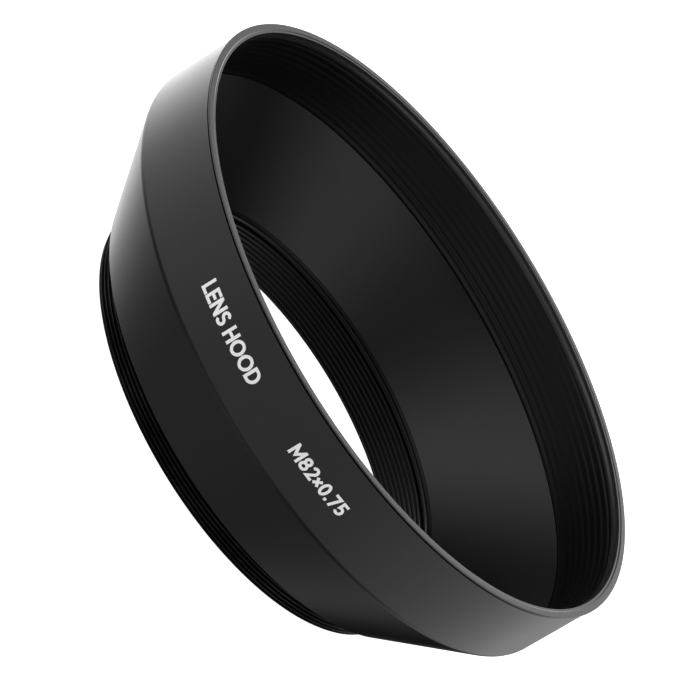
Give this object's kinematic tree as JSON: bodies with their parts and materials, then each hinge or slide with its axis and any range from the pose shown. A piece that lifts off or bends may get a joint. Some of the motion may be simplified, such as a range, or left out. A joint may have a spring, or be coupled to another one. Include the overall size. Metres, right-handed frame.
{
  "type": "lens hood",
  "caption": "Round screw-in wide-angle lens hood: a black metal bell with a ribbed light baffle, a flat front rim and a threaded rear mount.",
  "frame": {"origin": "centre of the mount's rear face on the optical axis; the rear face lies in z = 0", "axes": "+Z along the optical axis, out of the front opening; the hood is round about Z, and its marking faces -Y"},
  "size_m": [0.1132, 0.1132, 0.0366],
  "materials": {
    "satin_black": "satin black anodised, fine turning marks",
    "turned_face": "bright-turned dark anodised face, concentric turning marks",
    "cone_black": "semi-matt black anodised",
    "baffle_black": "matt black anodised, ribbed",
    "thread_black": "matt black anodised thread",
    "marking_white": "white paint fill"
  },
  "bodies": {
    "root": {"mount_ring": "thread_black", "throat_sleeve": "baffle_black", "baffle_cone": "cone_black", "hood_shell": "satin_black", "rim_ring": "turned_face"}
  },
  "joints": []
}
